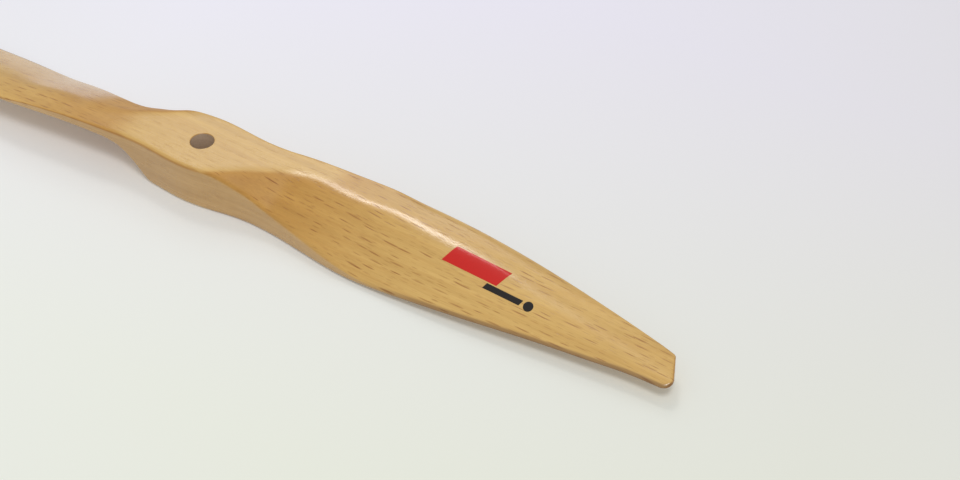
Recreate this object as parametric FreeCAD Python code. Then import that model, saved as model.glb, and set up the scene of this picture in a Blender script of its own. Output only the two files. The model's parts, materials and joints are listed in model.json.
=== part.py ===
import FreeCAD
import Part
import math
import os

from FreeCAD import Vector

# Fixed-pitch two-blade propeller carved from one beech board. Millimetres.
# The bore axis is Z, the rear hub face is z = 0 and the first blade runs along +X.
# Seen from the front (+Z) the propeller turns counter-clockwise, so +Y is the
# first blade's leading edge. The second blade is the first one turned half way round.

# Driving dimensions
diameter = 355.6
pitch = 177.8
hub_thickness = 16.6
hub_width = 26.6
bore_diameter = 8.0
max_chord = 31.4
tip_chord = 12.4
tip_rake = 25.0                    # degrees by which the leading corner of the tip lies back
edge_thickness = 0.8
edge_round = 1.2
lead_corner_round = 1.7
trail_corner_round = 3.0
film_thickness = 0.1

tip_radius = diameter / 2
half_hub = hub_width / 2
tip_high = 0.53 * tip_chord
tip_low = -0.45 * tip_chord

# Outline of a blade seen from the front, as distances from the blade's axis at
# shares of the tip radius: first as shares of the hub's width, then of the chord.
leading_at_hub = [(0.06, 0.472), (0.12, 0.452)]
leading_outline = [
    (0.20, 0.420), (0.30, 0.466), (0.40, 0.522), (0.50, 0.544),
    (0.60, 0.526), (0.72, 0.462), (0.84, 0.362), (0.92, 0.283),
]
trailing_at_hub = [(0.06, 0.463), (0.12, 0.399), (0.17, 0.391)]
trailing_outline = [
    (0.24, 0.366), (0.33, 0.439), (0.42, 0.462), (0.52, 0.436),
    (0.64, 0.373), (0.76, 0.289), (0.88, 0.216),
]

# Guides for the carving, each a share of the tip radius and a height as a share
# of the hub thickness. The back face hangs from the lower line of the leading
# edge, which rises steeply out of the hub. The wood between the two faces is a
# deep wall at the hub and thins to the edge's own thickness by mid blade.
leading_low_guides = [
    (0.03, -0.62), (0.085, -0.02), (0.115, 0.34), (0.155, 0.73), (0.21, 0.79),
    (0.30, 0.80), (0.42, 0.775), (0.60, 0.66), (0.80, 0.52), (0.92, 0.45), (1.05, 0.39),
]
wall_guides = [
    (0.03, 2.56), (0.085, 1.74), (0.115, 1.215), (0.15, 0.775), (0.19, 0.51), (0.25, 0.385),
    (0.32, 0.262), (0.38, 0.10), (0.43, 0.0), (0.50, 0.0), (0.75, 0.0), (1.05, 0.0),
]
# The land is the level strip of the front face beside the leading edge. It carries
# on from the hub's front face and falls towards the tip.
land_guides = [
    (0.03, 1.30), (0.20, 1.16), (0.28, 1.02), (0.35, 0.945), (0.42, 0.885),
    (0.50, 0.83), (0.60, 0.775), (0.72, 0.665), (0.85, 0.555), (1.05, 0.43),
]
# Swell of the front face above the straight line between its edges, as a share
# of the widest chord.
swell_guides = [
    (0.03, 0.0), (0.20, 0.0), (0.29, 0.05), (0.36, 0.10), (0.44, 0.145),
    (0.60, 0.105), (0.75, 0.064), (0.90, 0.038), (1.05, 0.022),
]

back_ease = 0.2 * tip_radius       # inside this radius the twist of the back face stops growing
front_ease = 0.28 * tip_radius     # and that of the front face
carve_start = 0.05 * tip_radius
carve_margin = 4.0                 # how far the carving surfaces run past the wood
crest = 0.64                       # place of the swell's top, from trailing to leading edge
crest_aft = 1.9                    # powers by which the swell falls away on either side
crest_fore = 3.2
land_blend = 1.2                   # how softly the front face rolls over onto the land
lead_end_tangent = Vector(1, -0.3, 0)
lead_past_tip = 0.3 * tip_chord
span_stations = 30
chord_stations = 17

# Printed mark on the first blade: a slanted red panel, a black bar and a dot.
panel_inner = 0.535 * tip_radius
panel_length = 20.0
panel_height = 6.0
panel_lean = 2.0
panel_y = 0.3
bar_inner = panel_inner + 16.4
bar_length = 13.0
bar_height = 1.9
bar_lean = 0.6
bar_y = -2.0
dot_radius = 1.6
dot_gap = 2.9


def read_back(curve, x):
    """The second coordinate of a curve that runs steadily outwards, at distance x."""
    low = curve.FirstParameter
    high = curve.LastParameter
    for _ in range(40):
        middle = (low + high) / 2
        if curve.value(middle).x < x:
            low = middle
        else:
            high = middle
    return curve.value(low).y


def placed(shares, scale):
    return [Vector(out * tip_radius, height * scale, 0) for out, height in shares]


def guided_curve(guides):
    """A spline drawn along its guides, which it follows without overshooting."""
    curve = Part.BSplineCurve()
    curve.buildFromPoles(guides, False, 3)
    return curve


def tip_x(y):
    """Distance out of the raked tip line, whose trailing corner rounds to the full radius."""
    rake = math.radians(tip_rake)
    above = y - tip_low - trail_corner_round * (1 + math.sin(rake))
    return tip_radius - trail_corner_round * (1 - math.cos(rake)) - above * math.tan(rake)


leading_points = placed(leading_at_hub, hub_width) + placed(leading_outline, max_chord)
trailing_points = placed(trailing_at_hub, hub_width) + placed(trailing_outline, max_chord)


def blade_edges(turned):
    """The leading edge, tip and trailing edge of one blade as connected curves."""
    lead_corner = Vector(tip_x(tip_high), tip_high, 0)
    trail_corner = Vector(tip_x(tip_low), tip_low, 0)
    lead = Part.BSplineCurve()
    lead.interpolate(
        Points=[Vector(0, half_hub, 0)] + leading_points + [lead_corner],
        InitialTangent=Vector(1, 0, 0),
        FinalTangent=lead_end_tangent,
    )
    below = [Vector(point.x, -point.y, 0) for point in trailing_points]
    trail = Part.BSplineCurve()
    trail.interpolate(
        Points=[Vector(0, -half_hub, 0)] + below + [trail_corner],
        InitialTangent=Vector(1, 0, 0),
        FinalTangent=Vector(1, 0, 0),
    )
    edges = [
        lead.toShape(),
        Part.LineSegment(lead_corner, trail_corner).toShape(),
        trail.toShape(),
    ]
    if turned:
        for edge in edges:
            edge.rotate(Vector(0, 0, 0), Vector(0, 0, 1), 180)
    return edges


def upright_edges(solid, y):
    """The corners of the two tips at this distance from the blade's axis."""
    found = []
    for edge in solid.Edges:
        first = edge.Vertexes[0].Point
        last = edge.Vertexes[-1].Point
        upright = abs(first.z - last.z) > hub_thickness / 2
        if upright and abs(first.x) > tip_radius / 2 and abs(first.y * first.x / abs(first.x) - y) < 0.01:
            found.append(edge)
    return found


def blank():
    """The board sawn to the plan outline, its tip corners and long edges rounded."""
    edges = blade_edges(False) + blade_edges(True)
    wire = Part.Wire(Part.__sortEdges__(edges))
    board = Part.Face(wire).extrude(Vector(0, 0, hub_thickness))
    board = board.makeFillet(lead_corner_round, upright_edges(board, tip_high))
    board = board.makeFillet(trail_corner_round, upright_edges(board, tip_low))
    rims = [
        edge for edge in board.Edges
        if abs(edge.Vertexes[0].Z - edge.Vertexes[-1].Z) < 1e-6
    ]
    return board.makeFillet(edge_round, rims)


past_tip = 1.05 * tip_radius
leading_low_curve = guided_curve(placed(leading_low_guides, hub_thickness))
wall_curve = guided_curve(placed(wall_guides, hub_thickness))
land_curve = guided_curve(placed(land_guides, hub_thickness))
swell_curve = guided_curve(placed(swell_guides, max_chord))
lead_curve = guided_curve(leading_points + [Vector(past_tip, lead_past_tip, 0)])
trail_curve = guided_curve(trailing_points + [Vector(past_tip, -tip_low, 0)])


def twist_slope(x, ease):
    return pitch / (2 * math.pi * (x ** 4 + ease ** 4) ** 0.25)


def swell(share):
    if share > crest:
        return 1 - ((share - crest) / (1 - crest)) ** crest_fore
    return 1 - ((crest - share) / crest) ** crest_aft


def soft_min(a, b, width):
    """The lower of two heights, with a round corner where they cross."""
    near = max(width - abs(a - b), 0) / width
    return min(a, b) - near * near * width / 4


def carving_grid(front):
    rows = []
    end = tip_radius + carve_margin
    for i in range(span_stations):
        x = carve_start + (end - carve_start) * i / (span_stations - 1)
        low = -read_back(trail_curve, x)
        high = read_back(lead_curve, x)
        back_edge = read_back(leading_low_curve, x)
        wall = edge_thickness + read_back(wall_curve, x)
        land = read_back(land_curve, x)
        rise = read_back(swell_curve, x)
        slope = twist_slope(x, front_ease if front else back_ease)
        row = []
        for j in range(chord_stations):
            y = low - carve_margin + (high - low + 2 * carve_margin) * j / (chord_stations - 1)
            z = back_edge - slope * (high - y)
            if front:
                z = soft_min(z + wall + rise * swell((y - low) / (high - low)), land, land_blend)
            row.append(Vector(x, y, z))
        rows.append(row)
    return rows


def carving_face(front):
    surface = Part.BSplineSurface()
    surface.interpolate(carving_grid(front))
    return surface.toShape()


def propeller():
    depth = 6 * hub_thickness
    above = carving_face(True).extrude(Vector(0, 0, depth))
    below = carving_face(False).extrude(Vector(0, 0, -depth))
    cutters = []
    for angle in (0, 180):
        for cutter in (above, below):
            turned = cutter.copy()
            turned.rotate(Vector(0, 0, 0), Vector(0, 0, 1), angle)
            cutters.append(turned)
    bore = Part.makeCylinder(bore_diameter / 2, hub_thickness + 2, Vector(0, 0, -1))
    body = blank()
    for cutter in cutters + [bore]:
        body = body.cut(cutter)
    return body


def film(outline_face):
    """A printed film on the front face of the first blade, cut to a flat outline."""
    skin = carving_face(True).extrude(Vector(0, 0, film_thickness))
    column = outline_face.extrude(Vector(0, 0, 3 * hub_thickness))
    return skin.common(column)


def slanted_panel(x, y, length, height, lean):
    corners = [
        Vector(x, y, 0),
        Vector(x + length, y, 0),
        Vector(x + length + lean, y + height, 0),
        Vector(x + lean, y + height, 0),
    ]
    return Part.Face(Part.makePolygon(corners + corners[:1]))


def dot_face():
    centre = Vector(bar_inner + bar_length + dot_gap, bar_y + bar_height / 2, 0)
    return Part.Face(Part.Wire(Part.makeCircle(dot_radius, centre)))


def single_solid(shape):
    solids = shape.Solids
    if len(solids) != 1 or not solids[0].isValid():
        raise ValueError("expected one valid solid, found %d" % len(solids))
    return solids[0]


pieces = {
    "beech_propeller": propeller(),
    "red_panel_film": film(slanted_panel(panel_inner, panel_y, panel_length, panel_height, panel_lean)),
    "black_bar_film": film(slanted_panel(bar_inner, bar_y, bar_length, bar_height, bar_lean)),
    "black_dot_film": film(dot_face()),
}

os.makedirs("parts", exist_ok=True)
for name, shape in pieces.items():
    solid = single_solid(shape)
    solid.exportStep("parts/%s.step" % name)
    box = solid.optimalBoundingBox()
    print(name, round(solid.Volume, 2), [round(v, 2) for v in (box.XLength, box.YLength, box.ZLength)])
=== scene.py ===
import json
import math

import bmesh
import bpy
import numpy as np
from mathutils import Matrix, Vector
from mathutils.bvhtree import BVHTree


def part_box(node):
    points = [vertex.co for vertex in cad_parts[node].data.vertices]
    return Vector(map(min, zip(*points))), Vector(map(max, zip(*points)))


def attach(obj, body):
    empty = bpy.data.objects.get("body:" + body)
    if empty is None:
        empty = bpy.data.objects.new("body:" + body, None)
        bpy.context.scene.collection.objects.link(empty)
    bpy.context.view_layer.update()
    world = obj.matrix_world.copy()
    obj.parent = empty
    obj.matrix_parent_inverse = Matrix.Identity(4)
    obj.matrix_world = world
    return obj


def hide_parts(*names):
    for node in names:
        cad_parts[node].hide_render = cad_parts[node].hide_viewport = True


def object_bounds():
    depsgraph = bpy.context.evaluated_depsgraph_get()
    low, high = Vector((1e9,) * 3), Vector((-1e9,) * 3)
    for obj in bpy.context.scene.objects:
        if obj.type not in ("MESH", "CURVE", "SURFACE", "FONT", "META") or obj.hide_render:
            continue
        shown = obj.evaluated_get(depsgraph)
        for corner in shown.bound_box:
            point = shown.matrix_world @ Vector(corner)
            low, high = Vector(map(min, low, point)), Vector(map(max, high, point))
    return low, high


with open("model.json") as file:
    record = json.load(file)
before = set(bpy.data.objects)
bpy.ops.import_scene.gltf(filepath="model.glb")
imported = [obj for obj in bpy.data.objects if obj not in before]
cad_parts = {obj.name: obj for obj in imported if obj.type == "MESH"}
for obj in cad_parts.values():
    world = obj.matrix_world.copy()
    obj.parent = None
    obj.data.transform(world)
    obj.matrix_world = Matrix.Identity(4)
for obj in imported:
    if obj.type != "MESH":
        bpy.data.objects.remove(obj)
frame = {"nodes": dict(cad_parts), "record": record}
cadLow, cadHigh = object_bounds()
print("frame loaded")

mm = 0.001
tipRadius = (cadHigh.x - cadLow.x) / 2
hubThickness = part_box("beech_propeller")[1].z
boreRadius = frame["record"]["mounts"][0]["dims"]["r_mm"] * mm


# ---- shape of the wood ----

# lengths are metres; guides are (share of the tip radius, height)
blade = {
    "pitch": 177.8 * mm,
    "hubWidth": 26.6 * mm,
    "chord": 31.4 * mm,
    "tipChord": 12.4 * mm,
    "backEase": 0.2,           # inside these shares of the radius the twist stops growing
    "frontEase": 0.28,
    "landBlend": 1.2 * mm,     # how softly the front rolls over onto the level strip by its edge
    "edgeThickness": 0.8 * mm,
    "crest": 0.64,             # place of the swell's top across the blade
    "crestAft": 1.9,
    "crestFore": 3.2,
    "leadHub": [(0.06, 0.472), (0.12, 0.452)],
    "leadBlade": [(0.20, 0.420), (0.30, 0.466), (0.40, 0.522), (0.50, 0.544),
                  (0.60, 0.526), (0.72, 0.462), (0.84, 0.362), (0.92, 0.283)],
    "trailHub": [(0.06, 0.463), (0.12, 0.399), (0.17, 0.391)],
    "trailBlade": [(0.24, 0.366), (0.33, 0.439), (0.42, 0.462), (0.52, 0.436),
                   (0.64, 0.373), (0.76, 0.289), (0.88, 0.216)],
    "leadLow": [(0.03, -0.62), (0.085, -0.02), (0.115, 0.34), (0.155, 0.73), (0.21, 0.79),
                (0.30, 0.80), (0.42, 0.775), (0.60, 0.66), (0.80, 0.52), (0.92, 0.45), (1.05, 0.39)],
    "wall": [(0.03, 2.56), (0.085, 1.74), (0.115, 1.215), (0.15, 0.775), (0.19, 0.51), (0.25, 0.385),
             (0.32, 0.262), (0.38, 0.10), (0.43, 0.0), (0.50, 0.0), (0.75, 0.0), (1.05, 0.0)],
    "land": [(0.03, 1.30), (0.20, 1.16), (0.28, 1.02), (0.35, 0.945), (0.42, 0.885),
             (0.50, 0.83), (0.60, 0.775), (0.72, 0.665), (0.85, 0.555), (1.05, 0.43)],
    "swell": [(0.03, 0.0), (0.20, 0.0), (0.29, 0.05), (0.36, 0.10), (0.44, 0.145),
              (0.60, 0.105), (0.75, 0.064), (0.90, 0.038), (1.05, 0.022)],
}


def scaledGuides(guides, height):
    return [(out * tipRadius, share * height) for out, share in guides]


def guideCurve(guides):
    # clamped uniform cubic spline along the guides, read back by distance out
    count = len(guides)
    knots = [0] * 4 + list(range(1, count - 3)) + [count - 3] * 4
    along = np.linspace(0, count - 3 - 1e-9, 3000)
    basis = [((along >= knots[i]) & (along < knots[i + 1])).astype(float) for i in range(count + 3)]
    for degree in (1, 2, 3):
        raised = []
        for i in range(count + 3 - degree):
            weight = 0.0
            if knots[i + degree] > knots[i]:
                weight = weight + (along - knots[i]) / (knots[i + degree] - knots[i]) * basis[i]
            if knots[i + degree + 1] > knots[i + 1]:
                span = knots[i + degree + 1] - knots[i + 1]
                weight = weight + (knots[i + degree + 1] - along) / span * basis[i + 1]
            raised.append(weight)
        basis = raised
    points = sum(np.outer(basis[i], guides[i]) for i in range(count))
    return lambda out: np.interp(out, points[:, 0], points[:, 1])


def bladeGuides():
    b = blade
    lead = scaledGuides(b["leadHub"], b["hubWidth"]) + scaledGuides(b["leadBlade"], b["chord"])
    trail = scaledGuides(b["trailHub"], b["hubWidth"]) + scaledGuides(b["trailBlade"], b["chord"])
    past = 1.05 * tipRadius
    return {
        "lead": guideCurve(lead + [(past, 0.3 * b["tipChord"])]),
        "trail": guideCurve(trail + [(past, 0.45 * b["tipChord"])]),
        "leadLow": guideCurve(scaledGuides(b["leadLow"], hubThickness)),
        "wall": guideCurve(scaledGuides(b["wall"], hubThickness)),
        "land": guideCurve(scaledGuides(b["land"], hubThickness)),
        "swell": guideCurve(scaledGuides(b["swell"], b["chord"])),
    }


curves = bladeGuides()


def softMin(a, b, width):
    near = np.clip(width - np.abs(a - b), 0, None) / width
    return np.minimum(a, b) - near * near * width / 4


def twistSlope(out, ease):
    return blade["pitch"] / (2 * math.pi * (out ** 4 + (ease * tipRadius) ** 4) ** 0.25)


def carvedFaces(x, y):
    # front and back faces of the carving at plan points, before the hub's flats trim them
    out = np.abs(x)
    across = y * np.where(x < 0, -1.0, 1.0)
    high = curves["lead"](out)
    low = -curves["trail"](out)
    backSlope, frontSlope = twistSlope(out, blade["backEase"]), twistSlope(out, blade["frontEase"])
    back = curves["leadLow"](out) - backSlope * (high - across)
    front = curves["leadLow"](out) - frontSlope * (high - across)
    share = (across - low) / (high - low)
    crest = blade["crest"]
    aft = np.clip((crest - share) / crest, 0, None) ** blade["crestAft"]
    fore = np.clip((share - crest) / (1 - crest), 0, None) ** blade["crestFore"]
    front = front + blade["edgeThickness"] + curves["wall"](out) + curves["swell"](out) * (1 - aft - fore)
    return softMin(front, curves["land"](out), blade["landBlend"]), back


finish = {
    "creaseHub": 0.5 * mm,     # how softly a carved face meets a hub flat, near the bore and farther out
    "creaseOut": 2.2 * mm,
    "hubRound": 1.3 * mm,
    "edgeRound": 0.36 * mm,
    "tipRound": 1.1 * mm,
    "boreChamfer": 0.22 * mm,
    "boreTurn": 1.3,           # degrees that the cutter is turned, so that its corners miss the grid's rows
    "sliver": 0.012 * mm,
    "rowStep": 0.66 * mm,
    "tipStep": 0.14 * mm,
    "tipZone": 6.0 * mm,
    "columns": 46,
    "rim": [0.0, 0.05, 0.14, 0.28, 0.46, 0.70, 0.98, 1.35],   # millimetres in from an edge
}


def easedStep(low, high, value):
    t = np.clip((value - low) / (high - low), 0, 1)
    return t * t * (3 - 2 * t)


def rimDrop(distance, radius):
    inside = np.clip(radius - distance, 0, None)
    return radius - np.sqrt(np.clip(radius * radius - inside * inside, 0, None))


def woodHeights(x, y, edgeDistance):
    front, back = carvedFaces(x, y)
    fartherOut = easedStep(0.08 * tipRadius, 0.22 * tipRadius, np.abs(x))
    crease = finish["creaseHub"] + (finish["creaseOut"] - finish["creaseHub"]) * fartherOut
    top = softMin(front, hubThickness, crease)
    bottom = -softMin(-back, 0.0, finish["creaseOut"])
    grow = finish["hubRound"] - finish["edgeRound"]
    radius = finish["edgeRound"] + grow * easedStep(1.5 * mm, 6 * mm, top - bottom)
    nearTip = easedStep(0.945 * tipRadius, 0.985 * tipRadius, np.abs(x))
    upperRadius = radius + (finish["tipRound"] - radius) * nearTip
    upperRadius = np.minimum(upperRadius, np.maximum(radius, 0.75 * (top - bottom)))
    return top - rimDrop(edgeDistance, upperRadius), bottom + rimDrop(edgeDistance, radius)


def rowPlaces():
    steady = np.arange(0, tipRadius - finish["tipZone"], finish["rowStep"])
    closing = np.linspace(steady[-1], tipRadius - 0.01 * mm, int(finish["tipZone"] / finish["tipStep"]))
    return np.concatenate([steady, closing[1:]])


def outlineOf(node, half):
    # the plan outline of one blade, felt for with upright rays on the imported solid
    mesh = frame["nodes"][node].data
    tree = BVHTree.FromPolygons([v.co for v in mesh.vertices], [p.vertices for p in mesh.polygons])

    def onWood(x, y):
        return tree.ray_cast(Vector((x, y, 0.2)), Vector((0, 0, -1)))[0] is not None

    def edge(x, side):
        inside = side * 6 * mm if x < 10 * mm else -2.8 * mm * (x / tipRadius) ** 8
        outside = side * 30 * mm
        for _ in range(22):
            middle = (inside + outside) / 2
            if onWood(x, middle):
                inside = middle
            else:
                outside = middle
        return inside

    lead = np.array([edge(x, 1) for x in half])
    trail = np.array([edge(x, -1) for x in half])
    return evened(half, lead), evened(half, trail)


def evened(half, edge):
    # takes the facets out of a long edge, and leaves the tip's corners alone
    span = 3.2 * mm
    mirrored = np.concatenate([half[::-1][:-1] * -1, half])
    values = np.concatenate([edge[::-1][:-1], edge])
    soft = []
    for x in half:
        weight = np.exp(-0.5 * ((mirrored - x) / span) ** 2) * np.gradient(mirrored)
        near = np.polyfit(mirrored - x, values, 2, w=np.sqrt(np.maximum(weight, 1e-12)))
        soft.append(near[2])
    keep = easedStep(0.90 * tipRadius, 0.945 * tipRadius, half)
    return np.array(soft) * (1 - keep) + edge * keep


woodEdges = {}


def propellerPlaces():
    half = rowPlaces()
    lead, trail = outlineOf("beech_propeller", half)
    hubHalf = (lead[0] - trail[0]) / 2
    lead[0], trail[0] = hubHalf, -hubHalf
    rows = np.concatenate([-half[::-1][:-1], half])
    upper = np.concatenate([-trail[::-1][:-1], lead])
    lower = np.concatenate([-lead[::-1][:-1], trail])
    woodEdges.update(rows=rows, upper=upper, lower=lower)
    rim = np.array(finish["rim"]) * mm
    columns = finish["columns"]
    width = (upper - lower)[:, None]
    tight = np.minimum(1.0, width / (4 * rim[-1]))
    middle = np.linspace(0, 1, columns - 2 * len(rim) + 2)[None, 1:-1]
    left = rim[None, :] * tight
    right = width - left[:, ::-1]
    centre = left[:, -1:] + (width - 2 * left[:, -1:]) * middle
    fromLower = np.concatenate([left, centre, right], axis=1)
    x = np.repeat(rows[:, None], fromLower.shape[1], axis=1)
    y = lower[:, None] + fromLower
    tiltUpper = 1 / np.sqrt(1 + np.gradient(upper, rows) ** 2)
    tiltLower = 1 / np.sqrt(1 + np.gradient(lower, rows) ** 2)
    distance = np.minimum(fromLower * tiltLower[:, None], (width - fromLower) * tiltUpper[:, None])
    top, bottom = woodHeights(x, y, distance)
    least = 0.08 * mm
    thin = np.clip(least - (top - bottom), 0, None) / 2
    return x, y, top + thin, bottom - thin


def meshObject(name, bm):
    mesh = bpy.data.meshes.new(name)
    bm.to_mesh(mesh)
    bm.free()
    for polygon in mesh.polygons:
        polygon.use_smooth = True
    obj = bpy.data.objects.new(name, mesh)
    bpy.context.scene.collection.objects.link(obj)
    return obj


def gridIndex(values):
    places = sorted({round(v, 6) for v in values})
    return {place: index for index, place in enumerate(places)}


def carveBlank():
    x, y, top, bottom = propellerPlaces()
    rows, columns = x.shape
    bm = bmesh.new()
    bmesh.ops.create_grid(bm, x_segments=rows - 1, y_segments=columns - 1, size=1.0)
    rowOf = gridIndex(v.co.x for v in bm.verts)
    columnOf = gridIndex(v.co.y for v in bm.verts)
    if len(rowOf) != rows or len(columnOf) != columns:
        raise ValueError("the grid came out %d by %d" % (len(rowOf), len(columnOf)))
    lifted = bmesh.ops.extrude_face_region(bm, geom=bm.faces[:])["geom"]
    above = {v for v in lifted if isinstance(v, bmesh.types.BMVert)}
    for v in bm.verts:
        i, j = rowOf[round(v.co.x, 6)], columnOf[round(v.co.y, 6)]
        v.co = (x[i, j], y[i, j], top[i, j] if v in above else bottom[i, j])
    bmesh.ops.recalc_face_normals(bm, faces=bm.faces[:])
    return meshObject("propellerWood", bm)


def boreCutter():
    chamfer = finish["boreChamfer"]
    past = 2 * mm
    profile = [
        (0, -past), (boreRadius + chamfer + past, -past), (boreRadius, chamfer),
        (boreRadius, hubThickness - chamfer), (boreRadius + chamfer + past, hubThickness + past),
        (0, hubThickness + past),
    ]
    bm = bmesh.new()
    verts = [bm.verts.new((r, 0, z)) for r, z in profile]
    edges = [bm.edges.new(pair) for pair in zip(verts, verts[1:])]
    bmesh.ops.spin(bm, geom=verts + edges, cent=(0, 0, 0), axis=(0, 0, 1), dvec=(0, 0, 0),
                   angle=2 * math.pi, steps=96, use_merge=True)
    bmesh.ops.remove_doubles(bm, verts=bm.verts[:], dist=1e-6)
    turn = Matrix.Rotation(math.radians(finish["boreTurn"]), 3, "Z")
    bmesh.ops.rotate(bm, verts=bm.verts[:], cent=(0, 0, 0), matrix=turn)
    bmesh.ops.recalc_face_normals(bm, faces=bm.faces[:])
    return meshObject("boreCutter", bm)


def drillBore(wood):
    cutter = boreCutter()
    drill = wood.modifiers.new("bore", "BOOLEAN")
    drill.operation = "DIFFERENCE"
    drill.solver = "EXACT"
    drill.object = cutter
    bpy.context.view_layer.update()
    graph = bpy.context.evaluated_depsgraph_get()
    drilled = bpy.data.meshes.new_from_object(wood.evaluated_get(graph))
    wood.modifiers.clear()
    wood.data = drilled
    bpy.data.objects.remove(cutter)


def fromTrailingEdge(x, y):
    lower = y - np.interp(x, woodEdges["rows"], woodEdges["lower"])
    upper = np.interp(x, woodEdges["rows"], woodEdges["upper"]) - y
    return np.where(x > 0, lower, upper)


def finishWood(wood, lacquered, bare):
    wood.data.materials.clear()
    wood.data.materials.append(lacquered)
    wood.data.materials.append(bare)
    bm = bmesh.new()
    bm.from_mesh(wood.data)
    rimRadius = boreRadius + finish["boreChamfer"] + 0.05 * mm
    # slivers left by the cut
    cut = [v for v in bm.verts if v.co.xy.length < rimRadius]
    bmesh.ops.remove_doubles(bm, verts=cut, dist=finish["sliver"])
    cut = [e for e in bm.edges if max(v.co.xy.length for v in e.verts) < rimRadius]
    bmesh.ops.dissolve_degenerate(bm, edges=cut, dist=finish["sliver"] / 3)
    for face in bm.faces:
        face.smooth = True
        centre = face.calc_center_median()
        inBore = centre.xy.length < boreRadius and abs(face.normal.z) < 0.3
        face.material_index = 1 if inBore else 0
    for edge in bm.edges:
        if max(v.co.xy.length for v in edge.verts) < rimRadius:
            edge.smooth = edge.calc_face_angle(0) < math.radians(30)
    bm.to_mesh(wood.data)
    bm.free()


# where each finish and each painted shade begins and ends, in shares of the tip radius unless it says mm
markedOut = {
    "soakedFades": (0.12, 0.55),
    "dulledFades": (0.17, 0.215),
    "dulledFadesSecond": (0.24, 0.30),
    "secondShadeBegins": (0.12, 0.19),
    "secondShadeFades": (0.19, 0.5),
    "hubTopFades": (0.16, 0.30),
    "tipBegins": (0.94, 0.97),
    "trailingShadeBegins": (0.38, 0.56),
    "carvedBelow": (0, 1.0 * mm),
    "dulledBelow": (0.5 * mm, 3.0 * mm),
    "trailingShadeWide": (0.5 * mm, 1.2 * mm),
    "rimBegins": (4 * mm, 12 * mm),
    "secondShadeShare": 0.8,
    "hubTopShare": 0.75,
}


def markWood(wood):
    # lacquer soaks in deeper, and shines less, where the carving cuts out of the hub; the marks also paint
    # shade on the second blade's carving by the hub, on the tip ends and along the trailing edge, shade and
    # sheen on the side walls, and a darker tone along the rounded rims
    m = markedOut
    normals = np.array([v.normal for v in wood.data.vertices])
    places = np.array([v.co for v in wood.data.vertices])
    x, y = places[:, 0], places[:, 1]
    out = np.abs(x) / tipRadius
    front, _ = carvedFaces(x, y)
    upright = np.abs(normals[:, 2])
    level = easedStep(0.2, 0.5, upright)
    carved = (1 - easedStep(*m["carvedBelow"], front - hubThickness)) * level
    dull = level * (1 - easedStep(*m["dulledBelow"], front - hubThickness))
    dullFirst = 1 - easedStep(*m["dulledFades"], out)
    dullSecond = 1 - easedStep(*m["dulledFadesSecond"], out)
    # painted shade on the second blade's carving by the hub, where it turns away from the light
    second = easedStep(*m["secondShadeBegins"], -x / tipRadius) * (1 - easedStep(*m["secondShadeFades"], out)) * level
    hubTop = (1 - carved) * level * (1 - easedStep(*m["hubTopFades"], out))
    # a darker tone along the rounded rims, chosen by how steeply the surface tilts
    rims = easedStep(0.10, 0.35, normals[:, 2]) * (1 - easedStep(0.60, 0.80, normals[:, 2]))
    rims = rims * (1 - easedStep(*m["rimBegins"], -x * np.sign(y)))
    # painted shade on the tip's end faces
    tipShade = easedStep(0.3, 0.7, np.abs(normals[:, 0])) * easedStep(*m["tipBegins"], out)
    # painted shade and sheen on the side walls, which turn greyer and darker
    walls = (1 - easedStep(0.15, 0.60, upright)) * (1 - tipShade)
    # painted shade in a band along the outer blade's trailing edge
    trailing = 1 - easedStep(*m["trailingShadeWide"], fromTrailingEdge(x, y))
    marks = {
        # where lacquer soaks into the first blade's carved root, and painted shade on the second blade
        "soakedAndShaded": np.maximum(carved * (1 - easedStep(*m["soakedFades"], out)), m["secondShadeShare"] * second),
        "dulled": dull * np.where(x < 0, dullSecond, dullFirst),
        "rim": np.maximum(rims, tipShade),
        "wallShadeAndSheen": walls,
        "plain": np.maximum(walls, m["hubTopShare"] * hubTop),
        "trailingEdgeShade": trailing * easedStep(*m["trailingShadeBegins"], out),
    }
    for label, values in marks.items():
        wood.data.attributes.new(label, "FLOAT", "POINT").data.foreach_set("value", values)


# ---- printed films ----

films = {
    "lift": 0.06 * mm,
    "sink": 0.03 * mm,
    "panelLean": 2.0 * mm,
    "barLean": 0.6 * mm,
}


def layOnBlade(bm, above):
    xs = np.array([v.co.x for v in bm.verts])
    ys = np.array([v.co.y for v in bm.verts])
    top, _ = woodHeights(xs, ys, np.full(len(xs), 1.0))
    for v, z in zip(bm.verts, top):
        v.co.z = z + films["lift"] if v in above else z - films["sink"]


def closedFilm(name, bm):
    lifted = bmesh.ops.extrude_face_region(bm, geom=bm.faces[:])["geom"]
    above = {v for v in lifted if isinstance(v, bmesh.types.BMVert)}
    layOnBlade(bm, above)
    bmesh.ops.recalc_face_normals(bm, faces=bm.faces[:])
    for edge in bm.edges:
        edge.smooth = edge.calc_face_angle(0) < math.radians(40)
    return meshObject(name, bm)


def slantedFilm(name, node, lean):
    low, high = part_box(node)
    bm = bmesh.new()
    bmesh.ops.create_grid(bm, x_segments=48, y_segments=16, size=0.5)
    for v in bm.verts:
        up = v.co.y + 0.5
        along = v.co.x + 0.5
        v.co.x = low.x + lean * up + along * (high.x - low.x - lean)
        v.co.y = low.y + up * (high.y - low.y)
    return closedFilm(name, bm)


def roundFilm(name, node):
    low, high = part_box(node)
    radius = (high.x - low.x) / 2
    bm = bmesh.new()
    bmesh.ops.create_circle(bm, cap_ends=True, cap_tris=False, segments=56, radius=radius)
    for _ in range(4):
        inner = max(bm.faces, key=lambda face: len(face.verts))
        bmesh.ops.inset_individual(bm, faces=[inner], thickness=radius / 5, depth=0.0)
    bmesh.ops.translate(bm, verts=bm.verts[:], vec=((low.x + high.x) / 2, (low.y + high.y) / 2, 0))
    return closedFilm(name, bm)


# ---- materials ----

def linkUp(tree, source, target):
    tree.links.new(source, target)


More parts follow.
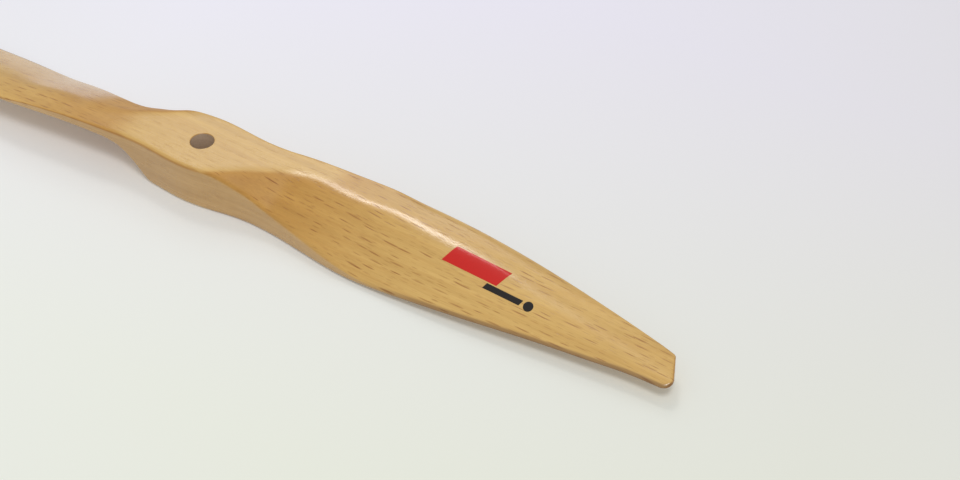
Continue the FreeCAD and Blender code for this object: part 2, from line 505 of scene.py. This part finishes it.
def fillSockets(tree, sockets, values):
    for socket, value in zip(sockets, values):
        if isinstance(value, (int, float, tuple)):
            socket.default_value = value
        elif value is not None:
            linkUp(tree, value, socket)


def mathNode(tree, operation, first, second=None, third=None, clamp=False):
    node = tree.nodes.new("ShaderNodeMath")
    node.operation = operation
    node.use_clamp = clamp
    fillSockets(tree, node.inputs, (first, second, third))
    return node.outputs[0]


def vectorNode(tree, operation, first, second=None):
    node = tree.nodes.new("ShaderNodeVectorMath")
    node.operation = operation
    fillSockets(tree, node.inputs, (first, second))
    return node.outputs["Value"] if operation == "LENGTH" else node.outputs["Vector"]


def mixColour(tree, factor, first, second, blend="MIX"):
    node = tree.nodes.new("ShaderNodeMix")
    node.data_type = "RGBA"
    node.blend_type = blend
    fillSockets(tree, [s for s in node.inputs if s.enabled], (factor, first, second))
    return [s for s in node.outputs if s.enabled][0]


def newGroup(name, inputs, outputs):
    group = bpy.data.node_groups.new(name, "ShaderNodeTree")
    for label, kind, value in inputs:
        socket = group.interface.new_socket(name=label, in_out="INPUT", socket_type=kind)
        socket.default_value = value
    for label, kind in outputs:
        group.interface.new_socket(name=label, in_out="OUTPUT", socket_type=kind)
    start = group.nodes.new("NodeGroupInput")
    end = group.nodes.new("NodeGroupOutput")
    return group, start.outputs, end.inputs


def noiseNode(tree, vector, scale, detail=2.0, roughness=0.5):
    node = tree.nodes.new("ShaderNodeTexNoise")
    node.inputs["Scale"].default_value = scale
    node.inputs["Detail"].default_value = detail
    node.inputs["Roughness"].default_value = roughness
    linkUp(tree, vector, node.inputs["Vector"])
    return node.outputs


def objectPlace(tree):
    return tree.nodes.new("ShaderNodeTexCoord").outputs["Object"]


fleck = {
    "randomness": 0.65,
    "smallShare": 0.45,        # strength of the small flecks beside the large ones
    # spacing along the grain, across it and into the board, half sizes as shares, and how many show
    "large": {"cell": (7.4, 1.9, 2.8), "half": (0.36, 0.10, 0.46), "shown": 0.97},
    "small": {"cell": (4.0, 1.0, 1.8), "half": (0.34, 0.13, 0.44), "shown": 0.75},
}


def fleckMask(tree, place, size, offset):
    # lens-shaped ray flecks: the nearest cell's centre, measured in its own half sizes
    scaled = vectorNode(tree, "MULTIPLY", place, tuple(1 / (c * mm) for c in size["cell"]))
    scaled = vectorNode(tree, "ADD", scaled, offset)
    cells = tree.nodes.new("ShaderNodeTexVoronoi")
    cells.voronoi_dimensions = "3D"
    cells.feature = "F1"
    cells.inputs["Scale"].default_value = 1.0
    cells.inputs["Randomness"].default_value = fleck["randomness"]
    linkUp(tree, scaled, cells.inputs["Vector"])
    apart = vectorNode(tree, "SUBTRACT", scaled, cells.outputs["Position"])
    apart = vectorNode(tree, "MULTIPLY", apart, tuple(1 / h for h in size["half"]))
    chance = tree.nodes.new("ShaderNodeSeparateColor")
    linkUp(tree, cells.outputs["Color"], chance.inputs[0])
    reach = mathNode(tree, "MULTIPLY_ADD", chance.outputs[1], 0.9, 0.55)
    far = mathNode(tree, "DIVIDE", vectorNode(tree, "LENGTH", apart), reach)
    body = mathNode(tree, "SUBTRACT", 1.0, mathNode(tree, "POWER", far, 4.0), clamp=True)
    shown = mathNode(tree, "LESS_THAN", chance.outputs[0], size["shown"])
    strength = mathNode(tree, "MULTIPLY_ADD", chance.outputs[2], 0.35, 0.65)
    return mathNode(tree, "MULTIPLY", mathNode(tree, "MULTIPLY", body, shown), strength)


# patterns per metre along the grain, across it and into the board
grainSizes = {
    "drift": (14.0, 70.0, 70.0),
    "driftBy": 3.4 * mm,
    "layer": 2.9 * mm,         # thickness of a year's growth
    "layerTilt": (0.22, 0.012),    # how the growth layers lean across the board and along it
    "fibre": (60.0, 2600.0, 2600.0),
    "streak": (9.0, 260.0, 260.0),
    "cloud": (12.0, 60.0, 60.0),
}


def beechGrain():
    group, given, result = newGroup(
        "beechGrain",
        [
            ("Ground", "NodeSocketColor", (0.6, 0.4, 0.2, 1)),
            ("Late Wood", "NodeSocketColor", (0.5, 0.3, 0.13, 1)),
            ("Fleck", "NodeSocketColor", (0.35, 0.18, 0.06, 1)),
            ("Figure", "NodeSocketFloat", 0.5),
            ("Fleck Strength", "NodeSocketFloat", 0.8),
        ],
        [
            ("Color", "NodeSocketColor"), ("Roughness", "NodeSocketFloat"), ("Height", "NodeSocketFloat"),
        ],
    )
    place = objectPlace(group)
    # slow drift of the fibres, so that nothing runs quite straight
    drift = noiseNode(group, vectorNode(group, "MULTIPLY", place, grainSizes["drift"]), 1.0)["Color"]
    shifted = vectorNode(group, "SUBTRACT", drift, (0.5, 0.5, 0.5))
    shifted = vectorNode(group, "MULTIPLY", shifted, (0.0, grainSizes["driftBy"], grainSizes["driftBy"]))
    grainPlace = vectorNode(group, "ADD", place, shifted)
    # growth layers lie nearly flat in the board and surface as long bands on the carved faces
    axes = group.nodes.new("ShaderNodeSeparateXYZ")
    linkUp(group, grainPlace, axes.inputs[0])
    acrossTilt, alongTilt = grainSizes["layerTilt"]
    depth = mathNode(group, "MULTIPLY_ADD", axes.outputs[1], acrossTilt, axes.outputs[2])
    depth = mathNode(group, "MULTIPLY_ADD", axes.outputs[0], alongTilt, depth)
    layer = mathNode(group, "FRACT", mathNode(group, "DIVIDE", depth, grainSizes["layer"]))
    late = mathNode(group, "POWER", layer, 2.6)
    fade = mathNode(group, "SUBTRACT", 1.0, layer)
    late = mathNode(group, "MULTIPLY", late, mathNode(group, "MULTIPLY", fade, 9.0, clamp=True))
    fibre = noiseNode(group, vectorNode(group, "MULTIPLY", grainPlace, grainSizes["fibre"]), 1.0, 3.0, 0.6)[0]
    coarse = vectorNode(group, "MULTIPLY", grainPlace, grainSizes["streak"])
    streak = noiseNode(group, coarse, 1.0, 3.0, 0.55)[0]
    cloud = noiseNode(group, vectorNode(group, "MULTIPLY", place, grainSizes["cloud"]), 1.0)[0]
    large = fleckMask(group, grainPlace, fleck["large"], (3.1, 7.7, 1.3))
    small = fleckMask(group, grainPlace, fleck["small"], (9.4, 2.2, 5.8))
    figure = mathNode(group, "MULTIPLY", late, given["Figure"])
    colour = mixColour(group, figure, given["Ground"], given["Late Wood"])
    shade = 1.0
    for pattern, contrast in ((streak, 0.50), (fibre, 0.40), (cloud, 0.26)):
        part = mathNode(group, "MULTIPLY_ADD", pattern, contrast, 1 - contrast / 2)
        shade = mathNode(group, "MULTIPLY", shade, part)
    # darker fibres are also redder
    shadeColour = group.nodes.new("ShaderNodeCombineColor")
    linkUp(group, mathNode(group, "POWER", shade, 0.8), shadeColour.inputs[0])
    linkUp(group, shade, shadeColour.inputs[1])
    linkUp(group, mathNode(group, "POWER", shade, 1.35), shadeColour.inputs[2])
    colour = mixColour(group, 1.0, colour, shadeColour.outputs[0], "MULTIPLY")
    allFlecks = mathNode(group, "MULTIPLY_ADD", small, fleck["smallShare"], large, clamp=True)
    fleckAmount = mathNode(group, "MULTIPLY", allFlecks, given["Fleck Strength"])
    colour = mixColour(group, fleckAmount, colour, given["Fleck"])
    linkUp(group, colour, result["Color"])
    rough = mathNode(group, "MULTIPLY_ADD", streak, 0.16, 0.16)
    linkUp(group, mathNode(group, "MULTIPLY_ADD", allFlecks, 0.1, rough), result["Roughness"])
    height = mathNode(group, "MULTIPLY_ADD", fibre, 0.5, mathNode(group, "MULTIPLY", streak, 0.8))
    sunk = mathNode(group, "MULTIPLY", allFlecks, 0.6)
    linkUp(group, mathNode(group, "SUBTRACT", height, sunk), result["Height"])
    return group


grainGroup = beechGrain()


def emptyMaterial(name):
    material = bpy.data.materials.new(name)
    material.use_nodes = True
    tree = material.node_tree
    tree.nodes.clear()
    output = tree.nodes.new("ShaderNodeOutputMaterial")
    shader = tree.nodes.new("ShaderNodeBsdfPrincipled")
    linkUp(tree, shader.outputs[0], output.inputs["Surface"])
    return material, tree, shader


def placeGroup(tree, group, values):
    node = tree.nodes.new("ShaderNodeGroup")
    node.node_tree = group
    for key, value in values.items():
        node.inputs[key].default_value = value
    return node


def bumpFrom(tree, height, shader, distance):
    bump = tree.nodes.new("ShaderNodeBump")
    bump.inputs["Strength"].default_value = 1.0
    bump.inputs["Distance"].default_value = distance
    linkUp(tree, height, bump.inputs["Height"])
    linkUp(tree, bump.outputs[0], shader.inputs["Normal"])


lacquer = {
    "coat": 0.25,
    "coatRoughness": 0.08,
    "coatIor": 1.5,
    "specular": 0.6,
    "dulledRougher": 0.32,     # added to the roughness where the wood is dulled
    "bump": 0.035 * mm,
}

woodTones = {
    "ground": (0.645, 0.400, 0.118, 1),
    "lateWood": (0.565, 0.305, 0.075, 1),
    "fleck": (0.36, 0.148, 0.024, 1),
    # darker and oranger where lacquer soaks into the carved root, and painted shade on the second blade's
    # carving
    "soakedAndShaded": (0.80, 0.64, 0.37, 1),
    # darker along the rounded rims, and painted shade on the tip ends
    "rim": (0.78, 0.63, 0.46, 1),
    # greyer: painted shade and sheen on the side walls
    "wallShadeAndSheen": (0.83, 0.80, 0.98, 1),
    # painted shade along the trailing edge
    "trailingEdgeShade": (0.52, 0.47, 0.52, 1),
    "plainFlecks": 0.15,       # share of the flecks' strength that is left on the side walls
    "bareGround": (0.60, 0.46, 0.33, 1),
    "bareLate": (0.48, 0.34, 0.23, 1),
}


def markedPlace(tree, label):
    node = tree.nodes.new("ShaderNodeAttribute")
    node.attribute_name = label
    return node.outputs["Fac"]


def lacqueredBeech():
    material, tree, shader = emptyMaterial("lacqueredBeech")
    grain = placeGroup(tree, grainGroup, {
        "Ground": woodTones["ground"], "Late Wood": woodTones["lateWood"], "Fleck": woodTones["fleck"],
        "Figure": 0.35,
    })
    colour = grain.outputs["Color"]
    labels = ("soakedAndShaded", "rim", "wallShadeAndSheen", "trailingEdgeShade", "dulled", "plain")
    marked = {label: markedPlace(tree, label) for label in labels}
    # multiplies in the tones of the marks: where lacquer soaks in, with painted shade on the second blade;
    # the darker rims, with painted shade on the tip ends; painted shade and sheen on the side walls; painted
    # shade along the trailing edge
    for label in ("soakedAndShaded", "rim", "wallShadeAndSheen", "trailingEdgeShade"):
        toned = mixColour(tree, 1.0, colour, woodTones[label], "MULTIPLY")
        colour = mixColour(tree, marked[label], colour, toned)
    fewer = mathNode(tree, "MULTIPLY_ADD", marked["plain"], woodTones["plainFlecks"] - 1, 1.0)
    linkUp(tree, fewer, grain.inputs["Fleck Strength"])
    linkUp(tree, colour, shader.inputs["Base Color"])
    rougher = mathNode(tree, "MULTIPLY", marked["dulled"], lacquer["dulledRougher"])
    linkUp(tree, mathNode(tree, "ADD", rougher, grain.outputs["Roughness"]), shader.inputs["Roughness"])
    coat = mathNode(tree, "MULTIPLY_ADD", marked["dulled"], -lacquer["coat"], lacquer["coat"])
    linkUp(tree, coat, shader.inputs["Coat Weight"])
    bumpFrom(tree, grain.outputs["Height"], shader, lacquer["bump"])
    shader.inputs["Coat Roughness"].default_value = lacquer["coatRoughness"]
    shader.inputs["Coat IOR"].default_value = lacquer["coatIor"]
    shader.inputs["Specular IOR Level"].default_value = lacquer["specular"]
    return material


def bareBeech():
    material, tree, shader = emptyMaterial("bareBeech")
    grain = placeGroup(tree, grainGroup, {
        "Ground": woodTones["bareGround"], "Late Wood": woodTones["bareLate"],
        "Fleck": (0.2, 0.11, 0.05, 1), "Figure": 0.5, "Fleck Strength": 0.5,
    })
    linkUp(tree, grain.outputs["Color"], shader.inputs["Base Color"])
    shader.inputs["Roughness"].default_value = 0.7
    bumpFrom(tree, grain.outputs["Height"], shader, 0.05 * mm)
    return material


ink = {
    "patches": 900.0,          # per metre
    "shaded": 0.55,            # how dark a thin patch is beside the full tone
    "roughness": (0.15, 0.32),
    "specular": 0.2,
    "coat": 0.3,
    "bump": 0.008 * mm,
}


def printedInk(name, colour, patchy):
    material, tree, shader = emptyMaterial(name)
    density = noiseNode(tree, objectPlace(tree), ink["patches"], 3.0, 0.6)[0]
    amount = mathNode(tree, "MULTIPLY", density, patchy)
    darker = tuple(c * ink["shaded"] for c in colour[:3]) + (1,)
    linkUp(tree, mixColour(tree, amount, colour, darker), shader.inputs["Base Color"])
    grain = placeGroup(tree, grainGroup, {})
    linkUp(tree, mathNode(tree, "MULTIPLY_ADD", density, *ink["roughness"]), shader.inputs["Roughness"])
    bumpFrom(tree, grain.outputs["Height"], shader, ink["bump"])
    shader.inputs["Specular IOR Level"].default_value = ink["specular"]
    shader.inputs["Coat Weight"].default_value = ink["coat"]
    shader.inputs["Coat Roughness"].default_value = lacquer["coatRoughness"]
    return material


# ---- pieces ----

lacquered = lacqueredBeech()
bare = bareBeech()
wood = carveBlank()
drillBore(wood)
finishWood(wood, lacquered, bare)
markWood(wood)
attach(wood, "root")
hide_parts("beech_propeller")
print("propeller carved:", len(wood.data.polygons), "faces")

redInk = printedInk("redInk", (0.62, 0.012, 0.007, 1), 0.25)
blackInk = printedInk("blackInk", (0.012, 0.009, 0.008, 1), 0.3)
prints = [
    (slantedFilm("redPanel", "red_panel_film", films["panelLean"]), "red_panel_film", redInk, "red_print"),
    (slantedFilm("blackBar", "black_bar_film", films["barLean"]), "black_bar_film", blackInk, "black_print"),
    (roundFilm("blackDot", "black_dot_film"), "black_dot_film", blackInk, "black_print"),
]
for film, node, inkMaterial, slotName in prints:
    film.data.materials.append(inkMaterial)
    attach(film, "root")
    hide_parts(node)
print("films printed")


# ---- floor, light and camera ----

studio = {
    "floorDrop": 0.03 * mm,
    "floorSize": 6.0,
    # the floor's tones near, far and to the side paint the change of light across the floor
    "floorNear": (0.845, 0.86, 0.815, 1),
    "floorFar": (0.845, 0.82, 0.95, 1),
    "floorSide": (0.90, 0.91, 0.81, 1),
    "floorShare": 0.885,       # how much of the floor's tone is paint, the rest glows through it
    "floorGlow": 0.15,
    # slope per metre and start of the change of tone, towards the back and towards the right
    "farRamp": (4.2, 0.34),
    "sideRamp": (3.4, 0.24),
    "skyColour": (0.985, 0.99, 1.0, 1),
    "skyStrength": 0.50,
    # direction towards the light, distance, size, watts
    "softbox": ((-0.35, 0.38, 0.86), 1.3, (0.22, 0.32), 1.55),
    "strip": ((-0.255, 0.345, 0.90), 1.3, (0.16, 0.20), 0.75),
    "window": ((-0.399, 0.62, 0.68), 2.0, (0.9, 0.6), 2.6),
    "overhead": ((0.3, -0.3, 0.9), 1.6, (0.45, 0.45), 8.5),
}


def layFloor():
    bm = bmesh.new()
    bmesh.ops.create_grid(bm, x_segments=1, y_segments=1, size=studio["floorSize"] / 2)
    bmesh.ops.translate(bm, verts=bm.verts[:], vec=(0, 0, cadLow.z - studio["floorDrop"]))
    floor = meshObject("floor", bm)
    material, tree, shader = emptyMaterial("palePaper")
    axes = tree.nodes.new("ShaderNodeSeparateXYZ")
    linkUp(tree, objectPlace(tree), axes.inputs[0])
    # painted change of light across the floor, towards the back and towards the right
    away = mathNode(tree, "MULTIPLY_ADD", axes.outputs[1], *studio["farRamp"], clamp=True)
    side = mathNode(tree, "MULTIPLY_ADD", axes.outputs[0], *studio["sideRamp"], clamp=True)
    tone = mixColour(tree, away, studio["floorNear"], studio["floorFar"])
    sideTone = mixColour(tree, 1.0, tone, studio["floorSide"], "MULTIPLY")
    tone = mixColour(tree, side, tone, sideTone)
    linkUp(tree, vectorNode(tree, "MULTIPLY", tone, (studio["floorShare"],) * 3), shader.inputs["Base Color"])
    linkUp(tree, tone, shader.inputs["Emission Color"])
    shader.inputs["Emission Strength"].default_value = studio["floorGlow"]
    shader.inputs["Roughness"].default_value = 0.9
    shader.inputs["Specular IOR Level"].default_value = 0.1
    floor.data.materials.append(material)


def hangLight(name, towards, distance, size, watts):
    data = bpy.data.lights.new(name, "AREA")
    data.shape = "RECTANGLE"
    data.size, data.size_y = size
    data.energy = watts
    light = bpy.data.objects.new(name, data)
    away = Vector(towards).normalized()
    light.location = away * distance
    light.rotation_mode = "QUATERNION"
    light.rotation_quaternion = away.to_track_quat("Z", "Y")
    bpy.context.scene.collection.objects.link(light)


def lightStudio():
    world = bpy.data.worlds.new("studio")
    world.use_nodes = True
    sky = world.node_tree.nodes["Background"]
    sky.inputs["Color"].default_value = studio["skyColour"]
    sky.inputs["Strength"].default_value = studio["skyStrength"]
    bpy.context.scene.world = world
    for name in ("softbox", "strip", "window", "overhead"):
        hangLight(name, *studio[name])
    bpy.context.scene.view_settings.view_transform = "Standard"


view = {
    "place": (0.3006, -0.2966, 0.3510),
    "azimuth": 32.80,
    "elevation": 42.60,
    "lens": 60.0,
}


def setCamera():
    data = bpy.data.cameras.new("camera")
    data.lens = view["lens"]
    data.sensor_width = 36.0
    data.clip_start = 0.01
    data.clip_end = 20.0
    camera = bpy.data.objects.new("camera", data)
    bpy.context.scene.collection.objects.link(camera)
    azimuth = math.radians(view["azimuth"])
    elevation = math.radians(view["elevation"])
    back = Vector((math.sin(azimuth) * math.cos(elevation), -math.cos(azimuth) * math.cos(elevation),
                   math.sin(elevation)))
    camera.location = view["place"]
    camera.rotation_mode = "QUATERNION"
    camera.rotation_quaternion = back.to_track_quat("Z", "Y")
    bpy.context.scene.camera = camera


layFloor()
lightStudio()
setCamera()
print("studio ready")

bpy.context.view_layer.update()
